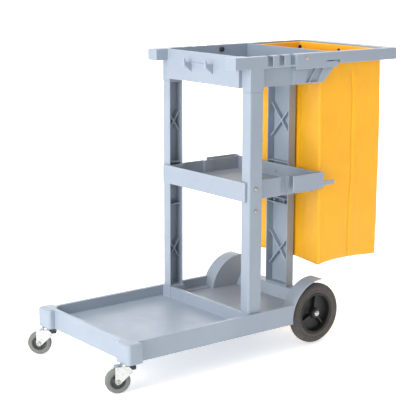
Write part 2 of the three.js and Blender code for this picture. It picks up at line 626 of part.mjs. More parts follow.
function rearWheels() {
  const tyre = rearTyre();
  const hub = rearHub();
  const middle = WHEEL.outer - WHEEL.width / 2;
  return SIDES.flatMap(([name, side]) => {
    const wheel = new THREE.Group();
    wheel.position.set(WHEEL.x, side * middle, WHEEL.radius);
    if (side > 0) wheel.rotation.z = Math.PI;
    wheel.add(named(`rear_tyre_${name}`, tyre, 'tyre'), named(`rear_hub_${name}`, hub, 'hub'));
    return wheel;
  });
}

function rearAxle() {
  const { x, radius: z, outer, axleRadius } = WHEEL;
  const end = outer - 1;
  const pieces = [named('rear_axle', rod([x, -end, z], [x, end, z], axleRadius, 16), 'zinc')];
  for (const [name, side] of SIDES) {
    const cap = join(
      rod([x, side * (outer - 2 + GAP), z], [x, side * (end + 3), z], 9.5, 16),
      rod([x, side * (end + 2), z], [x, side * (end + 6), z], 7.5, 16));
    const socket = rod([x, side * (end - 10), z], [x, side * (end + GAP), z], axleRadius + GAP, 16);
    pieces.push(named(`axle_cap_${name}`, cut(cap, socket), 'zinc'));
  }
  return pieces;
}

// ---------------------------------------------------------------- casters
// Drawn about the kingpin, with the wheel trailing towards +X and z = 0 at the floor.
function casterFork() {
  const c = CASTER;
  const legOuter = c.width / 2 + 4;
  const legInner = c.width / 2 + 1.5;
  const leg = new THREE.Shape();
  leg.moveTo(c.trail + 9, c.crownTop);
  leg.lineTo(-8, c.crownTop);
  leg.lineTo(c.pinX - 6, c.pinZ + 5);
  leg.lineTo(c.pinX - 6, c.pinZ - 2);
  leg.lineTo(-8, 55);
  leg.lineTo(c.trail - 6.4, c.radius - 6.4);
  leg.absarc(c.trail, c.radius, 9, -Math.PI * 0.75, 0);
  leg.closePath();
  const legs = [-1, 1].map((side) => alongY(leg, side * legInner, side * legOuter, 6));
  const crown = box(-8, c.trail + 9, -legOuter, legOuter, c.crownBottom, c.crownTop);
  const bearing = rod([0, 0, c.crownTop - 1], [0, 0, 87.5], 13, 16);
  const stem = rod([0, 0, 80], [0, 0, c.stemTop - 1], c.stemRadius, 12);
  const axleHole = rod([c.trail, -30, c.radius], [c.trail, 30, c.radius], 4 + GAP, 12);
  const pinHole = rod([c.pinX, -30, c.pinZ], [c.pinX, 30, c.pinZ], 2 + GAP, 12);
  return cut(join(...legs, crown, bearing, stem), axleHole, pinHole);
}

function casterAxle() {
  const c = CASTER;
  const face = c.width / 2 + 4 + GAP;
  const at = (y) => [c.trail, y, c.radius];
  return join(rod(at(-face - 2.5), at(face + 2.5), 4, 16), rod(at(-face - 3), at(-face), 6.2, 6),
    rod(at(face), at(face + 3), 6.2, 6));
}

function casterTread() {
  const half = CASTER.width / 2;
  const seat = CASTER.hubRadius + GAP;
  const r = CASTER.radius;
  return turned([[seat, -half], [r - 6, -half], [r, -half + 5], [r, half - 5], [r - 6, half], [seat, half]],
    CASTER.trail, CASTER.radius, CASTER.facets);
}

function casterHub() {
  const half = CASTER.width / 2;
  const r = CASTER.hubRadius;
  const bore = 4.3;
  return turned([[bore, -half], [9, -half], [9, -half + 5], [r - 3, -half + 5], [r - 3, -half + 0.5],
    [r, -half + 0.5], [r, half - 0.5], [r - 3, half - 0.5], [r - 3, half - 5], [9, half - 5], [9, half],
    [bore, half]], CASTER.trail, CASTER.radius, CASTER.facets);
}

// Foot lever on the leading side: a steel tongue on a pin through the legs, and the black pad on it.
function brakeLever() {
  const { pinX, pinZ } = CASTER;
  const lug = box(pinX - 3, pinX + 3, -10, 10, pinZ - 3, pinZ + 5);
  const pin = rod([pinX, -15.5, pinZ], [pinX, 15.5, pinZ], 2, 12);
  return join(box(-29, -6, -11, 11, pinZ + 4, pinZ + 6.5), lug, pin);
}

function brakePad() {
  const bottom = CASTER.pinZ + 6.5 + GAP;
  return alongZ(roundedRect(-31, -9, -11, 11, [5, 1.5, 1.5, 5]), bottom, bottom + 8, 4);
}

function casters() {
  const race = cut(rod([0, 0, 87.8], [0, 0, CASTER.blockBottom - GAP], 16, 24),
    rod([0, 0, 80], [0, 0, 95], CASTER.stemRadius + 0.5, 16));
  const pieces = [
    ['caster_fork', casterFork(), 'zinc'],
    ['caster_axle', casterAxle(), 'zinc'],
    ['caster_tread', casterTread(), 'tread'],
    ['caster_hub', casterHub(), 'casterHub'],
    ['brake_lever', brakeLever(), 'zinc'],
    ['brake_pad', brakePad(), 'black'],
    ['caster_race', race, 'zinc'],
  ];
  return SIDES.map(([name, side]) => {
    const caster = new THREE.Group();
    caster.position.set(CASTER.x, side * CASTER.y, 0);
    caster.rotation.z = THREE.MathUtils.degToRad(CASTER.heading[name]);
    for (const [label, shape, finish] of pieces) caster.add(named(`${label}_${name}`, shape, finish));
    return caster;
  });
}

// ---------------------------------------------------------------- assembly
const cart = new THREE.Group();
cart.add(deck(), ...posts(), upright(), middleShelf(), topTray(), bagFrame(), bag(), ...bagPegs(),
  ...postBolts(), ...armScrews(), shelfScrew(), ...rearWheels(), ...rearAxle(), ...casters());
cart.updateMatrixWorld(true);
const extent = new THREE.Box3().setFromObject(cart, true);
cart.position.x = -(extent.min.x + extent.max.x) / 2; // the origin is under the middle of the cart
cart.updateMatrixWorld(true);

export default cart;
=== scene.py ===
"""Looks for the housekeeping cart: grey moulded plastic, a hanging yellow bag, rubber wheels, zinc fittings.

Everything is in metres in the CAD's own frame: +X towards the bag, +Y to the right, +Z up from the floor.
"""
import json
import math

import bmesh
import bpy
from mathutils import Matrix, Vector, noise


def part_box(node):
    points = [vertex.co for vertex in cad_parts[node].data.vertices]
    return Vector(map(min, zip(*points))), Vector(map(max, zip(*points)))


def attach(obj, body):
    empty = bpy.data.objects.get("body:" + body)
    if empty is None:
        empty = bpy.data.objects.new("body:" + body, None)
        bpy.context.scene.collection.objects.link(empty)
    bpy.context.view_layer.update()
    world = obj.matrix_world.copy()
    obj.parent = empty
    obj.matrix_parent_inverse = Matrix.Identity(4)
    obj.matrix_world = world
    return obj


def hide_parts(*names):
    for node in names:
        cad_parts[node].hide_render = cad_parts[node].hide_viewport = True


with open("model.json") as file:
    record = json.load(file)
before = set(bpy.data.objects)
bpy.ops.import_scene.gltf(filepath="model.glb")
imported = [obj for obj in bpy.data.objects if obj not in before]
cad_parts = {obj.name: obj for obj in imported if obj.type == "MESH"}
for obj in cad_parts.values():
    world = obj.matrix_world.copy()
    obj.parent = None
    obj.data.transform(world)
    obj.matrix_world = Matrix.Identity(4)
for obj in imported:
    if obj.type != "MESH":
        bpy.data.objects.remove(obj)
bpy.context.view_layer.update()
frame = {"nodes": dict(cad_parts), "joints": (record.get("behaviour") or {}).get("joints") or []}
NODES = frame["nodes"]
SIDES = (("left", -1), ("right", 1))
JOINTS = {joint["name"]: joint for joint in frame["joints"]}

# ---------------------------------------------------------------- sizes that the looks add, in metres
EDGE = 0.0014  # rounding of moulded plastic edges, brake pads among them
STEEL_EDGE = 0.0005  # rounding of pressed steel
PEG_EDGE = 0.0004  # rounding of the bag's pegs
BOLT_EDGE = 0.00025  # rounding of bolt heads and nuts
SHEET = 0.0008  # coated cloth
HEM = 0.026  # depth of the bag's folded top
SAME_PLACE = 2e-5  # corners nearer to each other than this are one corner
FLAT = math.radians(0.6)  # faces that meet at less than this are one face
SHARP = math.radians(40)  # edges that turn by more than this are rounded
LEAST_SHARE = 0.12  # of the full rounding, kept by edges beside the shortest ones

# ---------------------------------------------------------------- colours, as linear red, green and blue
GREY = (0.314, 0.364, 0.432)
YELLOW = (1.0, 0.470, 0.011)
RUBBED_YELLOW = (1.0, 0.58, 0.06)
SOILED_YELLOW = (0.72, 0.30, 0.03)
WHITE = (1, 1, 1, 1)
DAYLIGHT = (0.97, 0.985, 1.0, 1)

# ---------------------------------------------------------------- studio
CAMERA_AZIMUTH, CAMERA_ELEVATION, CAMERA_ROLL = math.radians(-38.07), math.radians(11.97), math.radians(0.2)
CAMERA_AIM = (-0.0435, 0.0, 0.454)
CAMERA_DISTANCE = 4.037
CAMERA_LENS, CAMERA_SENSOR = 108.17, 36  # millimetres
LIGHT_AIM = (0, 0, 0.5)
SOFTBOXES = (("key", (-4.2, -0.7, 1.5), 2.4, 152), ("fill", (1.2, -3.6, 2.2), 2.4, 8),
             ("top", (-0.3, 0.3, 3.6), 2.2, 62))  # name, place, side and watts
WORLD_LIGHT = 0.48
FLOOR_GLOW = 0.44
SCREEN_GLOW = 0.95
SCREEN_RADIUS = 6.5
SCREEN_HEIGHTS = (-0.02, 2.4, 4.8)
SCREEN_MIDDLE = math.radians(52)  # where the screen faces the cart from
SCREEN_STEPS = 12


# ---------------------------------------------------------------- materials
class Finish:
    """A material built from procedural nodes, in the coordinates of the object."""

    def __init__(self, name, **fixed):
        self.material = bpy.data.materials.new(name)
        self.material.use_nodes = True
        self.tree = self.material.node_tree
        self.surface = self.tree.nodes["Principled BSDF"]
        for socket, value in fixed.items():
            self.surface.inputs[socket.replace("_", " ")].default_value = value
        self.place = self.node("ShaderNodeTexCoord").outputs["Object"]

    def node(self, kind, **settings):
        made = self.tree.nodes.new(kind)
        for name, value in settings.items():
            setattr(made, name, value)
        return made

    def link(self, source, target):
        self.tree.links.new(source, target)

    def stretched(self, scale):
        """The object's coordinates, scaled by an amount for each axis."""
        mapping = self.node("ShaderNodeMapping")
        mapping.inputs["Scale"].default_value = scale
        self.link(self.place, mapping.inputs["Vector"])
        return mapping.outputs["Vector"]

    def noise(self, scale, detail=3.0, roughness=0.55, place=None):
        made = self.node("ShaderNodeTexNoise")
        made.inputs["Scale"].default_value = scale
        made.inputs["Detail"].default_value = detail
        made.inputs["Roughness"].default_value = roughness
        self.link(place or self.place, made.inputs["Vector"])
        return made.outputs["Fac"]

    def cells(self, scale):
        made = self.node("ShaderNodeTexVoronoi")
        made.inputs["Scale"].default_value = scale
        self.link(self.place, made.inputs["Vector"])
        return made.outputs["Distance"]

    def ramp(self, factor, *stops):
        """Colours, or greys when a stop's value is one number, at places along a factor."""
        made = self.node("ShaderNodeValToRGB")
        band = made.color_ramp
        while len(band.elements) < len(stops):
            band.elements.new(0.5)
        for element, (position, value) in zip(band.elements, stops):
            element.position = position
            element.color = (*value, 1) if hasattr(value, "__len__") else (value, value, value, 1)
        self.link(factor, made.inputs["Fac"])
        return made.outputs["Color"]

    def calc(self, operation, first, second):
        made = self.node("ShaderNodeMath", operation=operation)
        for socket, value in zip(made.inputs, (first, second)):
            if isinstance(value, (int, float)):
                socket.default_value = value
            else:
                self.link(value, socket)
        return made.outputs["Value"]

    def mix(self, factor, first, second):
        made = self.node("ShaderNodeMix", data_type="RGBA")
        made.clamp_factor = True
        colours = [socket for socket in made.inputs if socket.type == "RGBA"]
        self.link(factor, made.inputs["Factor"])
        for socket, value in zip(colours, (first, second)):
            if hasattr(value, "__len__"):
                socket.default_value = (*value, 1)
            else:
                self.link(value, socket)
        return next(out for out in made.outputs if out.type == "RGBA")

    def bump(self, *layers):
        """Relief in layers of (height, depth in metres, strength), each on top of the one before."""
        normal = None
        for height, depth, strength in layers:
            made = self.node("ShaderNodeBump")
            made.inputs["Distance"].default_value = depth
            made.inputs["Strength"].default_value = strength
            self.link(height, made.inputs["Height"])
            if normal is not None:
                self.link(normal, made.inputs["Normal"])
            normal = made.outputs["Normal"]
        self.link(normal, self.surface.inputs["Normal"])

    def colour(self, output):
        self.link(output, self.surface.inputs["Base Color"])

    def roughness(self, output):
        self.link(output, self.surface.inputs["Roughness"])

    def glow(self, strength):
        self.surface.inputs["Emission Color"].default_value = WHITE
        self.surface.inputs["Emission Strength"].default_value = strength


def shade(colour, amount):
    """The colour made darker or lighter by a factor."""
    return tuple(min(channel * amount, 1.0) for channel in colour)


def moulded_plastic(name, colour, gloss=0.42, wear=0.0):
    """Polypropylene from a fine-blasted mould: grain, flow mottling, and light scuffs from use."""
    finish = Finish(name, Specular_IOR_Level=0.5, Coat_Weight=0.04, Coat_Roughness=0.35)
    mottle = finish.noise(7.0, 4.0)
    speck = finish.noise(900.0, 2.0)
    mottled = finish.ramp(mottle, (0.35, 0.0), (0.7, 1.0))
    tint = finish.mix(mottled, shade(colour, 0.965), shade(colour, 1.035))
    tint = finish.mix(finish.ramp(speck, (0.62, 0.0), (0.75, 0.5)), tint, shade(colour, 0.9))
    streak = finish.noise(60.0, 6.0, 0.7, finish.stretched((1.0, 5.0, 9.0)))
    rubbed = finish.ramp(finish.noise(3.1, 2.0), (0.5, 0.0), (0.75, 0.35 + wear))
    scuff = finish.calc("MULTIPLY", finish.ramp(streak, (0.63, 0.0), (0.72, 1.0)), rubbed)
    finish.colour(finish.mix(scuff, tint, shade(colour, 1.22)))
    finish.roughness(finish.ramp(finish.noise(24.0, 5.0), (0.3, gloss - 0.06), (0.7, gloss + 0.08)))
    finish.bump((finish.noise(9.0, 1.0), 0.0016, 0.10), (finish.noise(1500.0, 2.0), 0.00012, 0.32))
    return finish.material


def coated_cloth():
    """Vinyl over a woven base: the weave prints through, with rubbed folds and faint soiling."""
    finish = Finish("yellow_vinyl", Specular_IOR_Level=0.45, Sheen_Weight=0.04, Sheen_Roughness=0.4)
    mottle = finish.noise(11.0, 5.0, 0.6)
    mottled = finish.ramp(mottle, (0.35, 0.0), (0.68, 1.0))
    tint = finish.mix(mottled, shade(YELLOW, 0.95), shade(YELLOW, 1.03))
    crease = finish.noise(26.0, 6.0, 0.65, finish.stretched((1.0, 1.0, 0.25)))
    tint = finish.mix(finish.ramp(crease, (0.56, 0.0), (0.72, 0.45)), tint, RUBBED_YELLOW)
    soil = finish.calc("MULTIPLY", finish.ramp(finish.noise(5.0, 6.0, 0.7), (0.55, 0.0), (0.8, 0.3)),
                       finish.ramp(finish.noise(240.0, 3.0), (0.4, 0.2), (0.7, 1.0)))
    finish.colour(finish.mix(soil, tint, SOILED_YELLOW))
    finish.roughness(finish.ramp(crease, (0.3, 0.36), (0.75, 0.52)))
    across = finish.node("ShaderNodeSeparateXYZ")
    finish.link(finish.place, across.inputs["Vector"])
    around = finish.calc("ADD", across.outputs["X"], across.outputs["Y"])
    threads = 4200.0  # radians a metre: a thread each 0.75 mm
    warp = finish.calc("SINE", finish.calc("MULTIPLY", around, threads), 0.0)
    weft = finish.calc("SINE", finish.calc("MULTIPLY", across.outputs["Z"], threads), 0.0)
    weave = finish.calc("MULTIPLY", warp, weft)
    finish.bump((finish.noise(38.0, 4.0, 0.6), 0.0016, 0.22), (finish.noise(190.0, 3.0), 0.0004, 0.18),
                (weave, 0.00012, 0.35))
    return finish.material


def rubber(name, colour, dust, roughness=0.78):
    """Matt rubber, paler in patches and in its pores."""
    finish = Finish(name, Specular_IOR_Level=0.3)
    grime = finish.noise(55.0, 6.0, 0.65)
    tint = finish.mix(finish.ramp(grime, (0.42, 0.0), (0.75, 0.55)), colour, dust)
    speck = finish.cells(700.0)
    finish.colour(finish.mix(finish.ramp(speck, (0.0, 0.5), (0.25, 0.0)), tint, shade(dust, 1.15)))
    finish.roughness(finish.ramp(grime, (0.3, roughness - 0.08), (0.8, roughness + 0.1)))
    finish.bump((finish.noise(300.0, 4.0), 0.0003, 0.25), (finish.cells(1300.0), 0.0001, 0.3))
    return finish.material


def zinc(name, colour, roughness):
    """Bright plated steel with drawn lines and a faint spangle."""
    finish = Finish(name, Metallic=1.0, Specular_IOR_Level=0.5)
    spangle = finish.cells(120.0)
    spangled = finish.ramp(spangle, (0.1, 0.0), (0.6, 1.0))
    tint = finish.mix(spangled, shade(colour, 0.9), shade(colour, 1.06))
    stain = finish.ramp(finish.noise(70.0, 5.0, 0.7), (0.6, 0.0), (0.8, 0.4))
    finish.colour(finish.mix(stain, tint, shade(colour, 0.72)))
    drawn = finish.noise(420.0, 3.0, 0.6, finish.stretched((1.0, 1.0, 0.06)))
    finish.roughness(finish.ramp(drawn, (0.3, roughness - 0.06), (0.75, roughness + 0.12)))
    finish.bump((drawn, 0.00005, 0.25), (finish.noise(90.0, 2.0), 0.0004, 0.06))
    return finish.material


def thread():
    """Twisted polyester, a little paler than the cloth that it sews."""
    finish = Finish("stitching", Roughness=0.7, Specular_IOR_Level=0.3)
    fibre = finish.noise(2600.0, 2.0)
    finish.colour(finish.mix(fibre, (0.86, 0.40, 0.04), (0.98, 0.62, 0.16)))
    finish.bump((fibre, 0.0001, 0.4))
    return finish.material


def studio_floor():
    """White paper that gives off a little light of its own, so that shadows stay soft."""
    finish = Finish("studio_floor", Roughness=0.6, Specular_IOR_Level=0.2)
    finish.colour(finish.mix(finish.noise(2.0, 2.0), (0.93, 0.93, 0.93), (0.95, 0.95, 0.95)))
    finish.glow(FLOOR_GLOW)
    return finish.material


grey_plastic = moulded_plastic("grey_plastic", GREY)
# paler finish of the rounded edges: partly rubbed wear, partly a painted highlight along the edges
grey_worn_highlit_edge = moulded_plastic("grey_plastic_worn_highlit_edge", shade(GREY, 1.14), 0.36, 0.2)
hub_plastic = moulded_plastic("hub_plastic", (0.012, 0.0118, 0.012), 0.45)
core_plastic = moulded_plastic("core_plastic", (0.055, 0.056, 0.058), 0.45)
black_plastic = moulded_plastic("black_plastic", (0.018, 0.018, 0.020), 0.38)
yellow_vinyl = coated_cloth()
tyre_rubber = rubber("tyre_rubber", (0.086, 0.077, 0.072), (0.145, 0.130, 0.122))
tread_rubber = rubber("tread_rubber", (0.170, 0.175, 0.160), (0.240, 0.245, 0.230), 0.62)
bright_zinc = zinc("bright_zinc", (0.56, 0.57, 0.56), 0.26)
dull_zinc = zinc("dull_zinc", (0.43, 0.44, 0.38), 0.34)
warm_zinc = zinc("warm_zinc", (0.62, 0.50, 0.38), 0.34)
chrome_cap = zinc("chrome_cap", (0.52, 0.52, 0.50), 0.16)
yellow_thread = thread()


# ---------------------------------------------------------------- mesh helpers
def piece(name, mesh, body, materials):
    """A new object that rides on a body and takes its finish from a slot."""
    made = bpy.data.objects.new(name, mesh)
    bpy.context.scene.collection.objects.link(made)
    mesh.materials.clear()
    for material in materials:
        mesh.materials.append(material)
    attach(made, body)
    return made


def from_bmesh(name, bm, turn_out=True):
    """A smooth-shaded mesh; turn_out turns every face's normal out of its closed body."""
    if turn_out:
        bmesh.ops.recalc_face_normals(bm, faces=bm.faces)
    mesh = bpy.data.meshes.new(name)
    bm.to_mesh(mesh)
    bm.free()
    for polygon in mesh.polygons:
        polygon.use_smooth = True
    return mesh


def baked(made):
    """Replaces an object's mesh by the one its modifiers make, with no modifier left on it."""
    graph = bpy.context.evaluated_depsgraph_get()
    final = bpy.data.meshes.new_from_object(made.evaluated_get(graph))
    made.modifiers.clear()
    made.data = final
    return made


def rounded(made, width, segments=2, angle=35.0, edge_slot=0, limit="ANGLE"):
    """Rounds the edges that turn by more than the angle, or that have a share of the rounding, for good."""
    bevel = made.modifiers.new("rounding", "BEVEL")
    bevel.width = width
    bevel.segments = segments
    bevel.limit_method = limit
    bevel.angle_limit = math.radians(angle)
    bevel.use_clamp_overlap = False
    bevel.miter_outer = "MITER_ARC" if limit == "ANGLE" else "MITER_SHARP"
    bevel.material = edge_slot
    level = made.modifiers.new("flat_faces", "WEIGHTED_NORMAL")
    level.weight = 80
    return baked(made)


def sharp_edges(bm, width):
    """Gives each sharp edge its share of the rounding: less where the edges that meet it are short."""
    share = bm.edges.layers.float.new("bevel_weight_edge")
    sharp = {edge for edge in bm.edges if len(edge.link_faces) == 2 and edge.calc_face_angle() > SHARP}
    for edge in sharp:
        beside = (other for vert in edge.verts for other in vert.link_edges if other in sharp)
        shortest = min(other.calc_length() for other in beside)
        # the whole rounding once the shortest edge is nearly three roundings long
        edge[share] = min(1.0, max(LEAST_SHARE, shortest / (2.4 * width) - 0.2))


def refined(node, body, materials, width, edge_slot=0):
    """The CAD node's own shape as one clean mesh with rounded edges."""
    bm = bmesh.new()
    bm.from_mesh(NODES[node].data)
    bmesh.ops.remove_doubles(bm, verts=bm.verts, dist=SAME_PLACE)
    bmesh.ops.dissolve_limit(bm, angle_limit=FLAT, verts=bm.verts, edges=bm.edges)
    # one flat face becomes triangles, then four-sided faces, which round more evenly than a many-sided one
    bmesh.ops.triangulate(bm, faces=bm.faces)
    bmesh.ops.join_triangles(bm, faces=bm.faces, angle_face_threshold=math.radians(1),
                             angle_shape_threshold=math.radians(179))
    sharp_edges(bm, width)
    mesh = from_bmesh(f"{node}_surface", bm, False)
    made = piece(f"{node}_surface", mesh, body, materials)
    rounded(made, width, edge_slot=edge_slot, limit="WEIGHT")
    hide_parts(node)


def skin(bm, rings, closed=False):
    """Faces from each ring of points to the next, and from the last to the first when closed."""
    for first, second in zip(rings, rings[1:] + (rings[:1] if closed else [])):
        for k in range(len(first)):
            following = (k + 1) % len(first)
            bm.faces.new((first[k], first[following], second[following], second[k]))


def lathe(bm, profile, matrix, segments):
    """Turns a closed outline of (reach, along) points about the matrix's Z axis, and adds it to bm."""
    rings = []
    for step in range(segments):
        angle = math.tau * step / segments
        cosine, sine = math.cos(angle), math.sin(angle)
        rings.append([bm.verts.new(matrix @ Vector((reach * cosine, reach * sine, along)))
                      for reach, along in profile])
    skin(bm, rings, closed=True)


def turned(name, profile, matrix, segments, body, material):
    """A piece made by turning one profile."""
    bm = bmesh.new()
    lathe(bm, profile, matrix, segments)
    return piece(name, from_bmesh(name, bm), body, [material])


def soften(points, radius, steps=4):
    """A closed outline with each corner rounded by an arc of up to that radius."""
    result = []
    count = len(points)
    for k, point in enumerate(points):
        corner = Vector(point)
        before = Vector(points[k - 1]) - corner
        after = Vector(points[(k + 1) % count]) - corner
        reach = min(radius, before.length * 0.45, after.length * 0.45)
        start = corner + before.normalized() * reach
        end = corner + after.normalized() * reach
        for step in range(steps + 1):
            t = step / steps
            result.append(tuple((1 - t) ** 2 * start + 2 * t * (1 - t) * corner + t ** 2 * end))
    return result


def block(bm, low, high, matrix):
    """A box between two corners of the matrix's own space; returns its vertices."""
    made = bmesh.ops.create_cube(bm, size=1.0)
    size = Vector(high) - Vector(low)
    middle = (Vector(high) + Vector(low)) / 2
    bmesh.ops.transform(bm, verts=made["verts"],
                        matrix=matrix @ Matrix.Translation(middle) @ Matrix.Diagonal((*size, 1)))
    return made["verts"]


def axis_matrix(centre, axis):
    """A frame at centre whose Z is the axis and whose Y is as near to upright as it can be."""
    z = Vector(axis).normalized()
    x = Vector((0, 0, 1)).cross(z).normalized()
    y = z.cross(x)
    rows = Matrix((x, y, z)).transposed().to_4x4()
    rows.translation = Vector(centre)
    return rows


def middle_of(node):
    """The middle of a node's box."""
    low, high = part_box(node)
    return (low + high) / 2


def round_size(node):
    """Centre, radius and half width of a node that is round about the Y axis."""
    low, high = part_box(node)
    return (low + high) / 2, (high.z - low.z) / 2, (high.y - low.y) / 2


# ---------------------------------------------------------------- moulded frame
def moulded_frame():
    """Deck, posts, upright, shelf, tray and bag frame: grained faces, and rounded edges made paler, partly
    as rubbed wear and partly as a painted highlight.
    """
    for node in ("base_deck", "front_post_left", "front_post_right", "rear_upright", "middle_shelf",
                 "top_tray", "bag_frame"):
        refined(node, "cart", [grey_plastic, grey_worn_highlit_edge], EDGE, 1)


# ---------------------------------------------------------------- rear wheels
TYRE_BORE = 0.68  # in shares of the wheel's radius
AXLE_HOLE = 0.0068  # radius of the hub's bore
WEB_HALF = 0.003
WEB_ANGLES = (84, 204, 312)  # degrees round the hub


def rear_wheel(name, side):
    """Tyre with round shoulders and a raised bead; a dished hub with three webs; a domed cap on the axle."""
    centre, radius, half = round_size(f"rear_tyre_{name}")
    body = f"rear_wheel_{name}"
    matrix = axis_matrix(centre, (0, side, 0))  # Z points out of the cart
    rim = radius * TYRE_BORE
    tyre = [(rim, -half + 0.002), (rim + 0.003, -half), (radius - 0.016, -half),
            (radius - 0.007, -half + 0.0015), (radius - 0.0005, -half + 0.009), (radius, -0.0006),
            (radius - 0.0006, 0.0), (radius, 0.0006), (radius - 0.0005, half - 0.009),
            (radius - 0.007, half - 0.0015), (radius - 0.016, half), (rim + 0.013, half - 0.0008),
            (rim + 0.011, half - 0.002), (rim + 0.009, half - 0.0008), (rim + 0.003, half),
            (rim, half - 0.002)]
    made = turned(f"rear_tyre_{name}_surface", soften(tyre, 0.003, 3), matrix, 128, body,
                  tyre_rubber)
    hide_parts(f"rear_tyre_{name}")
    wheel_hub(name, rim - 0.0004, half, matrix, body)
    axle_cap(name, side, centre)


def wheel_hub(name, outer, half, matrix, body):
    """A barrel of that outer radius, a flat disc well inside it, and webs from the boss to the barrel."""
    disc = half - 0.024
    barrel = outer - 0.0075
    hub = [(outer, -half + 0.003), (outer, half - 0.003), (outer - 0.002, half - 0.0015),
           (outer - 0.0055, half - 0.0015), (barrel, half - 0.005), (barrel - 0.0015, disc), (0.021, disc),
           (0.0175, disc + 0.003), (0.0155, half - 0.003), (0.0135, half - 0.002), (AXLE_HOLE, half - 0.002),
           (AXLE_HOLE, -half + 0.001), (0.016, -half + 0.001), (0.018, disc - 0.004), (barrel, disc - 0.004),
           (outer - 0.005, -half + 0.003)]
    bm = bmesh.new()
    lathe(bm, soften(hub, 0.0018, 3), matrix, 112)
    for degrees in WEB_ANGLES:
        turn = Matrix.Rotation(math.radians(degrees), 4, "Z")
        low = (0.0145, -WEB_HALF, disc - 0.001)
        high = (barrel, WEB_HALF, disc + 0.0135)
        verts = block(bm, low, high, matrix @ turn)
        edges = [edge for edge in bm.edges if all(vert in verts for vert in edge.verts)]
        bmesh.ops.bevel(bm, geom=edges, offset=0.0011, segments=2, affect="EDGES", profile=0.5)
    made = piece(f"rear_hub_{name}_surface", from_bmesh("hub", bm), body, [hub_plastic])
    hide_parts(f"rear_hub_{name}")


def axle_cap(name, side, wheel):
    """Bright domed cap on the axle's end, in line with the wheel."""
    centre, _, half = round_size(f"axle_cap_{name}")
    matrix = axis_matrix((wheel.x, centre.y, wheel.z), (0, side, 0))
    dome = [(AXLE_HOLE, -half), (0.0093, -half), (0.0095, -half + 0.0012), (0.0095, half - 0.0034),
            (0.0085, half - 0.0022), (0.0074, half - 0.0014), (0.0052, half - 0.0004), (0.0022, half),
            (0.0004, half), (0.0004, half - 0.0016), (0.0060, half - 0.0022), (AXLE_HOLE, half - 0.0040)]
    made = turned(f"axle_cap_{name}_surface", dome, matrix, 64, "cart", chrome_cap)
    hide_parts(f"axle_cap_{name}")


def rear_axle():
    """The rod through both rear wheels, with its ends broken."""
    middle, radius, half = round_size("rear_axle")
    rod = [(0.0003, -half), (radius - 0.0008, -half), (radius, -half + 0.0008), (radius, half - 0.0008),
           (radius - 0.0008, half), (0.0003, half)]
    matrix = axis_matrix(middle, (0, 1, 0))
    made = turned("rear_axle_surface", rod, matrix, 48, "cart", bright_zinc)
    rounded(made, 0.0002, 1, 60.0)
    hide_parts("rear_axle")


# ---------------------------------------------------------------- casters
CASTER_HALF = 0.011  # half width of the wheel
CASTER_CORE = 0.0230  # radius of the core that carries the tread
CASTER_SPOKES = 5
BEARING_LOW, BEARING_HIGH = 0.0826, 0.0877  # heights of the ball cup above the floor
AXLE_NEAR, AXLE_FAR = 0.0156, 0.0185  # from the wheel's middle to the foot and the top of the axle's heads
AXLE_HEAD = 0.0064


def caster(name):
    """Wheel, fork, ball cup, axle bolt, brake and race of one caster."""
    spin = JOINTS[f"caster_{name}_spin"]
    centre = Vector(spin["pos_m"])
    matrix = axis_matrix(centre, Vector(spin["axis"]))
    caster_wheel(name, centre.z, matrix)

    swivel = Vector(JOINTS[f"caster_{name}_swivel"]["pos_m"])
    body = f"caster_swivel_{name}"
    refined(f"caster_fork_{name}", body, [bright_zinc], STEEL_EDGE)
    cup = [(0.006, BEARING_LOW), (0.0126, BEARING_LOW), (0.0134, 0.0836), (0.0134, 0.0856),
           (0.0126, 0.0872), (0.0112, BEARING_HIGH), (0.006, BEARING_HIGH)]
    upright = Matrix.Translation((swivel.x, swivel.y, 0))
    turned(f"caster_bearing_{name}", soften(cup, 0.0006, 2), upright, 64, body, bright_zinc)
    bolt(f"caster_axle_{name}", matrix, AXLE_NEAR, AXLE_FAR, AXLE_HEAD, body, ends=(1, -1))
    refined(f"brake_lever_{name}", f"brake_{name}", [bright_zinc], STEEL_EDGE)
    refined(f"brake_pad_{name}", f"brake_{name}", [black_plastic], EDGE)
    race = middle_of(f"caster_race_{name}")
    ring = [(0.0062, -0.0009), (0.0155, -0.0009), (0.016, -0.0004), (0.016, 0.0004), (0.0155, 0.0009),
            (0.0062, 0.0009)]
    made = turned(f"caster_race_{name}_surface", ring, Matrix.Translation(race), 64, "cart",
                  bright_zinc)
    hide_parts(f"caster_race_{name}")


def caster_wheel(name, radius, matrix):
    """A crowned grey tread on a dark core with short spokes on both faces."""
    half, core = CASTER_HALF, CASTER_CORE
    body = f"caster_wheel_{name}"
    tread = [(core + 0.0003, -half), (radius - 0.006, -half), (radius - 0.002, -half + 0.0012),
             (radius - 0.0002, -half + 0.005), (radius, -half + 0.008), (radius, half - 0.008),
             (radius - 0.0002, half - 0.005), (radius - 0.002, half - 0.0012), (radius - 0.006, half),
             (core + 0.0003, half)]
    made = turned(f"caster_tread_{name}_surface", soften(tread, 0.0016, 3), matrix, 96, body,
                  tread_rubber)
    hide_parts(f"caster_tread_{name}")

    hub = [(0.0044, -half), (0.0085, -half), (0.0092, -half + 0.004), (core - 0.004, -half + 0.005),
           (core - 0.003, -half + 0.0006), (core, -half + 0.0006), (core, half - 0.0006),
           (core - 0.003, half - 0.0006), (core - 0.004, half - 0.005), (0.0092, half - 0.004),
           (0.0085, half), (0.0044, half)]
    bm = bmesh.new()
    lathe(bm, soften(hub, 0.0012, 2), matrix, 72)
    for step in range(CASTER_SPOKES):
        turn = Matrix.Rotation(math.tau * step / CASTER_SPOKES, 4, "Z")
        for low, high in ((-half + 0.0012, -half + 0.006), (half - 0.006, half - 0.0012)):
            block(bm, (0.008, -0.001, low), (core - 0.003, 0.001, high), matrix @ turn)
    made = piece(f"caster_hub_{name}_surface", from_bmesh("core", bm), body, [core_plastic])
    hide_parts(f"caster_hub_{name}")


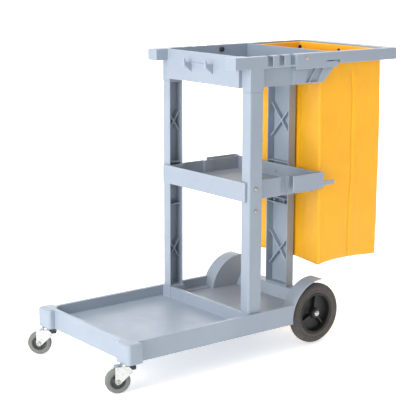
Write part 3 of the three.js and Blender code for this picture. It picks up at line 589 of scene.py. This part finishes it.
# ---------------------------------------------------------------- fasteners
WASHER = 0.0009  # how far the washer stands out
AXLE_SHANK = 0.0039  # radius between the two heads of a caster's axle
NUT_INSET = 0.0035  # from a post's outer face to the nut inside it
NUT_LOBES = 6
NUT_STEPS = 72


def bolt(node, matrix, near, far, radius, body, ends=(1,), hexagonal=True, finish=dull_zinc):
    """Head of a fastener between two distances along the matrix's Z, with a recess, at one end or both."""
    bm = bmesh.new()
    foot = near + WASHER
    for end in ends:
        flip = matrix @ Matrix.Diagonal((1, end, end, 1))
        washer = [(0.001, near), (radius * 1.12, near), (radius * 1.12, foot), (0.001, foot)]
        lathe(bm, soften(washer, 0.0003, 2), flip, 48)
        if hexagonal:
            nut = [(0.0008, foot), (radius, foot), (radius, far - 0.0007), (radius * 0.88, far),
                   (0.0045, far), (0.0038, far - 0.0006), (0.0008, far - 0.0006)]
            lathe(bm, nut, flip, 6)
        else:
            height = far - near
            dome = [(0.0008, foot), (radius, foot), (radius * 0.97, near + height * 0.5),
                    (radius * 0.8, near + height * 0.85), (radius * 0.45, far), (0.0026, far),
                    (0.0022, far - 0.0012), (0.0008, far - 0.0012)]
            lathe(bm, soften(dome, 0.0006, 2), flip, 48)
    if len(ends) == 2:
        shank = [(0.0005, -near), (AXLE_SHANK, -near), (AXLE_SHANK, near), (0.0005, near)]
        lathe(bm, shank, matrix, 32)
    made = piece(f"{node}_surface", from_bmesh(node, bm), body, [finish])
    rounded(made, BOLT_EDGE, 1, 50.0)
    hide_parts(node)


def post_nut(name, matrix):
    """Washer, hexagon nut and the end of the bolt, inside a post."""
    bm = bmesh.new()
    washer = [(0.001, 0.0003), (0.0062, 0.0003), (0.0062, 0.0009), (0.001, 0.0009)]
    hexagon = [(0.001, 0.0009), (0.0056, 0.0009), (0.0056, 0.0062), (0.0048, 0.0070), (0.001, 0.0070)]
    shank = [(0.0005, 0.0070), (0.0029, 0.0070), (0.0029, 0.0098), (0.0024, 0.0104), (0.0005, 0.0104)]
    lathe(bm, washer, matrix, 36)
    lathe(bm, hexagon, matrix, 6)
    lathe(bm, shank, matrix, 24)
    nut = piece(name, from_bmesh("nut", bm), "cart", [dull_zinc])
    rounded(nut, BOLT_EDGE, 1, 50.0)


def fasteners():
    """Post bolts with their nuts, the screws and hand nuts of the bag frame, and the shelf's screw."""
    for name, side in SIDES:
        outer = 0 if side < 0 else 1  # which corner of a box is on this side
        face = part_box(f"front_post_{name}")[outer].y
        for index in (1, 2):
            node = f"post_bolt_{name}_{index}"
            centre = middle_of(node)
            head_at = axis_matrix((centre.x, face, centre.z), (0, side, 0))
            bolt(node, head_at, 0.0003, 0.0048, 0.0060, "cart", hexagonal=False)
            nut_at = axis_matrix((centre.x, face - side * NUT_INSET, centre.z), (0, -side, 0))
            post_nut(f"post_nut_{name}_{index}", nut_at)
        node = f"arm_screw_{name}"
        centre = middle_of(node)
        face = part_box("bag_frame")[outer].y
        head_at = axis_matrix((centre.x, face, centre.z), (0, side, 0))
        bolt(node, head_at, 0.0003, 0.0032, 0.0058, "cart", hexagonal=False, finish=warm_zinc)
        arm_nut(f"arm_nut_{name}", side)
    centre = middle_of("shelf_screw")
    head_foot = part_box("shelf_screw")[0].x + 0.003
    head_at = axis_matrix((head_foot, centre.y, centre.z), (-1, 0, 0))
    bolt("shelf_screw", head_at, 0.0002, 0.0032, 0.0048, "cart", hexagonal=False)


def arm_nut(node, side):
    """Black lobed hand nut on the inner end of an arm screw."""
    centre, _, half = round_size(node)
    matrix = axis_matrix(centre, (0, -side, 0))
    collar = [(0.0035, -half), (0.0085, -half), (0.0085, -half + 0.003), (0.0035, -half + 0.003)]
    bm = bmesh.new()
    lathe(bm, soften(collar, 0.0006, 2), matrix, 48)
    rings = []
    for height, share in ((-half + 0.003, 0.96), (-half + 0.0045, 1.0), (half - 0.003, 0.92),
                          (half - 0.0008, 0.80), (half, 0.62)):
        ring = []
        for step in range(NUT_STEPS):
            angle = math.tau * step / NUT_STEPS
            radius = 0.0086 * share * (1 + 0.07 * math.cos(NUT_LOBES * angle))
            spot = Vector((radius * math.cos(angle), radius * math.sin(angle), height))
            ring.append(bm.verts.new(matrix @ spot))
        rings.append(ring)
    skin(bm, rings)
    bm.faces.new(rings[0])
    bm.faces.new(rings[-1])
    made = piece(f"{node}_surface", from_bmesh(node, bm), "cart", [black_plastic])
    rounded(made, 0.0003, 1, 50.0)
    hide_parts(node)


# ---------------------------------------------------------------- bag
BAG_LOW, BAG_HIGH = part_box("vinyl_bag")
ROUND = 0.007  # corner radius of the hanging bag
COLLAR = 0.0196  # how far the front wall steps back, where it passes behind the tray
COLLAR_LOW, COLLAR_HIGH = 0.858, 0.884  # heights between which it steps back
RECESS = 0.0194  # depth of the dent that the upright presses into the front wall
DENT_HALF = 0.060  # half width of the dent
DENT_SLOPE = 0.125  # how far each side of the dent takes to rise to the wall
UPRIGHT_HALF = 0.075  # half width of the upright that holds the wall flat
FRONT_HALF_HIGH = 0.181  # half width of the front wall above
FRONT_SPREAD = 0.011  # how much wider it is below
MOUTH_DROP = 0.001  # the cloth ends this far inside the CAD bag's top and sides
LEAN = 0.004  # how far the rear wall's top stands in front of its foot
HELD = 0.12  # share of the height below which the cloth hangs free
FULLEST = 0.006  # the cloth never stands out further than this
PUCKER_REACH, PUCKER_FALL = 0.16, 0.30  # how far the folds at the top corners run, across and down
CLOTH_ROWS, FLOOR_RINGS, CLOTH_STEPS, STITCH_STEPS = 96, 18, 260, 330
PEG_WALLS = (("bag_peg_left", (0, -1, 0)), ("bag_peg_right", (0, 1, 0)), ("bag_peg_rear", (1, 0, 0)))
SIDE_FOLD = ((0.952, 0.129), (0.908, 0.129), (0.816, 0.137), (0.568, 0.138), (0.484, 0.132), (0.372, 0.127),
             (0.250, 0.131))  # height above the floor, and distance behind the front wall


def bag_outline(count):
    """Evenly spaced points round the bag's plan, in shares of its half length and half width."""
    half_x = (BAG_HIGH.x - BAG_LOW.x) / 2
    half_y = (BAG_HIGH.y - BAG_LOW.y) / 2
    path = []
    for sign_x, sign_y, start in ((1, -1, -90), (1, 1, 0), (-1, 1, 90), (-1, -1, 180)):
        middle = Vector((sign_x * (half_x - ROUND), sign_y * (half_y - ROUND)))
        for step in range(7):
            angle = math.radians(start + 15 * step)
            path.append(Vector((middle.x + ROUND * math.cos(angle), middle.y + ROUND * math.sin(angle))))
    lengths = [(path[(k + 1) % len(path)] - path[k]).length for k in range(len(path))]
    points = []
    for step in range(count):
        want = sum(lengths) * step / count
        k = 0
        while want > lengths[k]:
            want -= lengths[k]
            k += 1
        point = path[k].lerp(path[(k + 1) % len(path)], want / lengths[k])
        points.append(Vector((point.x / half_x, point.y / half_y)))
    return points


def closer_at_folds(points):
    """The same outline with two more points in every step across the side folds."""
    dense = []
    for point, following in zip(points, points[1:] + points[:1]):
        dense.append(point)
        from_front = (point.x + 1) / 2 * (BAG_HIGH.x - BAG_LOW.x)
        if abs(point.y) > 0.99 and 0.112 < from_front < 0.152:
            dense += [point.lerp(following, share) for share in (1 / 3, 2 / 3)]
    return dense


def outward(u, v):
    """Direction away from the bag's middle, blended round its corners."""
    direction = Vector((u ** 9, v ** 9))
    return direction.normalized() if direction.length > 1e-6 else Vector((1, 0))


def smooth(value, low, high):
    """0 below low, 1 above high, and an even S between them."""
    t = min(max((value - low) / (high - low), 0), 1)
    return t * t * (3 - 2 * t)


def along_table(table, z):
    """Value at a height, from (height, value) rows that run downwards."""
    for (high, first), (low, second) in zip(table, table[1:]):
        if z >= low:
            return second + (first - second) * min((z - low) / (high - low), 1)
    return table[-1][1]


def bag_foot(along, v):
    """Height of the bottom seam, which arches up along each side and is nearly level in front.

    along runs from 0 at the front wall to 1 at the rear one, and v from -1 to 1 across the bag.
    """
    arch = 0.0105 * (1 - (1 - min(along / 0.32, 1)) ** 2) - 0.006 * smooth(along, 0.5, 1.0)
    return BAG_LOW.z + 0.002 + arch * abs(v) ** 4 + 0.002 * (1 - v * v) * (1 - along)


def bag_place(u, v, drop):
    """Where a point of the bag's wall hangs: drop runs from 0 at the top edge to 1 at the bottom seam."""
    along = (u + 1) / 2
    foot = bag_foot(along, v)
    z = BAG_HIGH.z - MOUTH_DROP + (foot - BAG_HIGH.z + MOUTH_DROP) * drop
    front = BAG_LOW.x + COLLAR * smooth(z, COLLAR_LOW, COLLAR_HIGH)
    rear = BAG_HIGH.x - LEAN + LEAN * drop
    corner = FRONT_HALF_HIGH + FRONT_SPREAD * smooth(-z, -0.8, -0.3)
    x = front + (rear - front) * along
    y = v * (corner + (BAG_HIGH.y - MOUTH_DROP - corner) * along)
    out = outward(u, v)
    front_wall = max(-out.x, 0)
    dent = 1 - min(max(abs(y) - DENT_HALF, 0) / DENT_SLOPE, 1)
    x += RECESS * smooth(-z, -COLLAR_HIGH, -COLLAR_LOW) * front_wall * dent
    side_panel = abs(out.y) > 0.9
    held = min(drop / HELD, 1.0)  # the hem is held straight by the frame
    push = 0.0030 * math.sin(math.pi * min(drop * 1.05, 1)) * (0.6 if side_panel else 1.0)
    push += 0.0030 * held * noise.noise(Vector((x * 7, y * 7, z * 3.2)))
    push += 0.0015 * held * noise.noise(Vector((x * 24 + 5, y * 24, z * 11)))
    near_foot = max(drop - 0.82, 0) / 0.18
    push += 0.0018 * near_foot * noise.noise(Vector((x * 30, y * 30, z * 22 + 9)))
    if side_panel:
        waver = 0.0012 * noise.noise(Vector((0.0, y, z * 14)))
        fold = x - BAG_LOW.x - along_table(SIDE_FOLD, z) + waver  # distance behind the fold's line
        push -= (0.0034 + 0.0016 * drop) * held * math.exp(-(abs(fold) / 0.0034) ** 1.4)
        push += (0.0008 + 0.0014 * drop) * held * math.exp(-((fold - 0.014) / 0.012) ** 2)
    elif out.x < -0.9:
        push += 0.0011 * math.exp(-((z - 0.742 - 0.02 * (v + 0.6)) / 0.0045) ** 2)  # a fold left by packing
    push += pucker(x, y, z) * held
    if out.x < -0.5 and abs(y) < UPRIGHT_HALF:
        push = min(push, 0.0)  # the upright's face holds it flat
    push = min(push, FULLEST)
    return Vector((x + out.x * push, y + out.y * push, z))


def pucker(x, y, z):
    """Shallow tension folds that fan down from the top corners."""
    amount = 0.0
    for cx in (BAG_LOW.x + COLLAR, BAG_HIGH.x):
        for cy in (BAG_LOW.y, BAG_HIGH.y):
            reach = math.hypot(x - cx, y - cy)
            fall = BAG_HIGH.z - z
            if reach < PUCKER_REACH and fall < PUCKER_FALL:
                angle = math.atan2(reach, fall + 0.02)
                fade = (1 - reach / PUCKER_REACH) * (1 - fall / PUCKER_FALL) * min(reach / 0.02, 1)
                amount += 0.0016 * fade * math.sin(angle * 13)
    return amount


def bag_cloth(outline):
    """One layer of cloth: the walls from the top down, then rings that close in over the sagging floor."""
    bm = bmesh.new()
    rings = [[bm.verts.new(bag_place(p.x, p.y, row / CLOTH_ROWS)) for p in outline]
             for row in range(CLOTH_ROWS + 1)]
    seam = rings[CLOTH_ROWS]
    centre = Vector(((BAG_LOW.x + BAG_HIGH.x) / 2, 0))
    for step in range(1, FLOOR_RINGS):
        share = 1 - step / FLOOR_RINGS
        ring = []
        for corner in seam:
            edge = corner.co
            flat = centre.lerp(Vector((edge.x, edge.y)), share)
            sag = -0.006 * (1 - share ** 2) + 0.003 * noise.noise(Vector((flat.x * 18, flat.y * 18, 1.3)))
            level = BAG_LOW.z + 0.008 + (edge.z - BAG_LOW.z - 0.008) * share
            ring.append(bm.verts.new((flat.x, flat.y, max(level + sag, BAG_LOW.z))))
        rings.append(ring)
    middle = bm.verts.new((centre.x, centre.y, BAG_LOW.z + 0.005))
    skin(bm, rings)
    last = rings[-1]
    for k in range(len(last)):
        bm.faces.new((last[k], last[(k + 1) % len(last)], middle))
    return from_bmesh("bag", bm)


def bag():
    """The hanging bag with its hem, stitching, eyelets and studs."""
    outline = closer_at_folds(bag_outline(CLOTH_STEPS))
    made = piece("vinyl_bag_sheet", bag_cloth(outline), "cart", [yellow_vinyl])
    thick = made.modifiers.new("cloth", "SOLIDIFY")
    thick.thickness = SHEET
    thick.offset = -1
    baked(made)
    for polygon in made.data.polygons:
        polygon.use_smooth = True
    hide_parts("vinyl_bag")
    trims = [bag_hem(outline), bag_seams(), *bag_eyelets()]


def bag_hem(outline):
    """The folded top edge: a second thickness, rolled over at the top, inside and out."""
    bm = bmesh.new()
    profile = [(-0.0022, -HEM), (-0.0026, -HEM + 0.002), (-0.0026, -0.002), (-0.0018, 0.0004),
               (-0.0004, 0.0012), (0.0008, 0.0004), (0.0013, -0.002), (0.0013, -HEM + 0.002), (0.0009, -HEM)]
    rings = []
    for p in outline:
        out = outward(p.x, p.y)
        top = bag_place(p.x, p.y, 0)
        wobble = 0.0005 * noise.noise(top * 30)
        rings.append([bm.verts.new((top.x + out.x * (d + wobble), top.y + out.y * (d + wobble), top.z + h))
                      for d, h in profile])
    skin(bm, rings, closed=True)
    return piece("vinyl_bag_hem", from_bmesh("hem", bm), "cart", [yellow_vinyl])


def stitch(bm, start, end, out):
    """One stitch: a slim four-sided bead from start to end, just proud of the cloth."""
    run = end - start
    side = run.normalized().cross(out).normalized() * 0.00035
    lift = out * 0.00045
    middle = (start + end) / 2
    ends = [bm.verts.new(start), bm.verts.new(end)]
    waist = [bm.verts.new(middle + offset) for offset in (side, lift, -side, -lift)]
    for k in range(4):
        following = waist[(k + 1) % 4]
        bm.faces.new((ends[0], waist[k], following))
        bm.faces.new((ends[1], following, waist[k]))


def bag_seams():
    """Two rows of stitches through the hem and one above the bottom seam."""
    bm = bmesh.new()
    height = BAG_HIGH.z - BAG_LOW.z
    hem_rows = [(HEM - 0.003) / height, (HEM - 0.007) / height]
    outline = bag_outline(STITCH_STEPS)
    for drop in hem_rows + [1 - 0.006 / height]:
        hem_step = 0.0014 if drop in hem_rows else 0.0003  # how far the stitches stand off the cloth
        for p, q in zip(outline, outline[1:] + outline[:1]):
            out = outward((p.x + q.x) / 2, (p.y + q.y) / 2)
            lift = Vector((out.x, out.y, 0))
            start = bag_place(p.x, p.y, drop) + lift * hem_step
            end = bag_place(q.x, q.y, drop) + lift * hem_step
            stitch(bm, start, start.lerp(end, 0.72), lift)
    return piece("vinyl_bag_stitching", from_bmesh("stitching", bm), "cart", [yellow_thread])


def bag_eyelets():
    """Plated rings through the hem, and the stud heads that they hang on."""
    made = []
    for node, out in PEG_WALLS:
        peg = middle_of(node)
        direction = Vector(out)
        face = BAG_LOW if min(out) < 0 else BAG_HIGH
        hole = peg - direction * peg.dot(direction) + direction * face.dot(direction)
        hole.z = peg.z - 0.004
        matrix = axis_matrix(hole - direction * 0.0035, -direction)
        ring = [(0.0045, -0.0042), (0.0082, -0.0042), (0.0088, -0.0034), (0.0088, -0.0030),
                (0.0058, -0.0026), (0.0056, 0.0008), (0.0088, 0.0012), (0.0088, 0.0016), (0.0080, 0.0024),
                (0.0045, 0.0022)]
        made.append(turned(f"{node}_eyelet", soften(ring, 0.0004, 2), matrix, 48, "cart",
                           bright_zinc))
        stud = [(0.0004, -0.0030), (0.0036, -0.0030), (0.0036, 0.0024), (0.0062, 0.0028), (0.0066, 0.0036),
                (0.0058, 0.0048), (0.0034, 0.0056), (0.0004, 0.0058)]
        made.append(turned(f"{node}_head", soften(stud, 0.0005, 2), matrix, 40, "cart",
                           black_plastic))
        refined(node, "cart", [black_plastic], PEG_EDGE)
    return made


# ---------------------------------------------------------------- studio
def studio():
    """Floor, backdrop, world light and softboxes."""
    bm = bmesh.new()
    bmesh.ops.create_grid(bm, x_segments=2, y_segments=2, size=12)
    ground = bpy.data.objects.new("floor", from_bmesh("floor", bm))
    bpy.context.scene.collection.objects.link(ground)
    ground.data.materials.append(studio_floor())

    world = bpy.data.worlds.new("studio")
    world.use_nodes = True
    background = world.node_tree.nodes["Background"]
    background.inputs["Color"].default_value = DAYLIGHT
    background.inputs["Strength"].default_value = WORLD_LIGHT
    bpy.context.scene.world = world
    for name, place, size, watts in SOFTBOXES:
        softbox(name, place, size, watts)
    backdrop()


def backdrop():
    """A tall white screen that curves round behind the cart."""
    bm = bmesh.new()
    rows = []
    for height in SCREEN_HEIGHTS:
        row = []
        for step in range(SCREEN_STEPS + 1):
            angle = SCREEN_MIDDLE + math.radians(-66 + 11 * step)
            x, y = SCREEN_RADIUS * math.cos(angle), SCREEN_RADIUS * math.sin(angle)
            row.append(bm.verts.new((x, y, height)))
        rows.append(row)
    for low, high in zip(rows, rows[1:]):
        for k in range(SCREEN_STEPS):
            bm.faces.new((low[k], low[k + 1], high[k + 1], high[k]))
    screen = bpy.data.objects.new("backdrop", from_bmesh("backdrop", bm, False))
    bpy.context.scene.collection.objects.link(screen)
    finish = Finish("backdrop_white", Roughness=0.9, Specular_IOR_Level=0.0)
    finish.colour(finish.mix(finish.noise(1.0, 1.0), (0.94, 0.94, 0.94), (0.95, 0.95, 0.95)))
    finish.glow(SCREEN_GLOW)
    screen.data.materials.append(finish.material)


def softbox(name, place, size, watts):
    """A square lamp that points at the middle of the cart."""
    light = bpy.data.lights.new(name, "AREA")
    light.shape = "SQUARE"
    light.size = size
    light.energy = watts
    made = bpy.data.objects.new(name, light)
    made.location = place
    aim = Vector(LIGHT_AIM) - Vector(place)
    made.rotation_euler = aim.to_track_quat("-Z", "Y").to_euler()
    bpy.context.scene.collection.objects.link(made)


def camera():
    """The main view: from the platform end's left, a little above, with a long lens."""
    level = math.cos(CAMERA_ELEVATION)
    back = Vector((math.sin(CAMERA_AZIMUTH) * level, -math.cos(CAMERA_AZIMUTH) * level,
                   math.sin(CAMERA_ELEVATION)))
    data = bpy.data.cameras.new("camera")
    data.sensor_width = CAMERA_SENSOR
    data.lens = CAMERA_LENS
    data.clip_end = 50
    made = bpy.data.objects.new("camera", data)
    turn = back.to_track_quat("Z", "Y") @ Matrix.Rotation(CAMERA_ROLL, 4, "Z").to_quaternion()
    place = Vector(CAMERA_AIM) + back * CAMERA_DISTANCE
    made.matrix_world = Matrix.Translation(place) @ turn.to_matrix().to_4x4()
    bpy.context.scene.collection.objects.link(made)
    bpy.context.scene.camera = made


bpy.context.scene.view_settings.view_transform = "Standard"
camera()
studio()
moulded_frame()
rear_axle()
for label, sign in SIDES:
    rear_wheel(label, sign)
    caster(label)
fasteners()
bag()
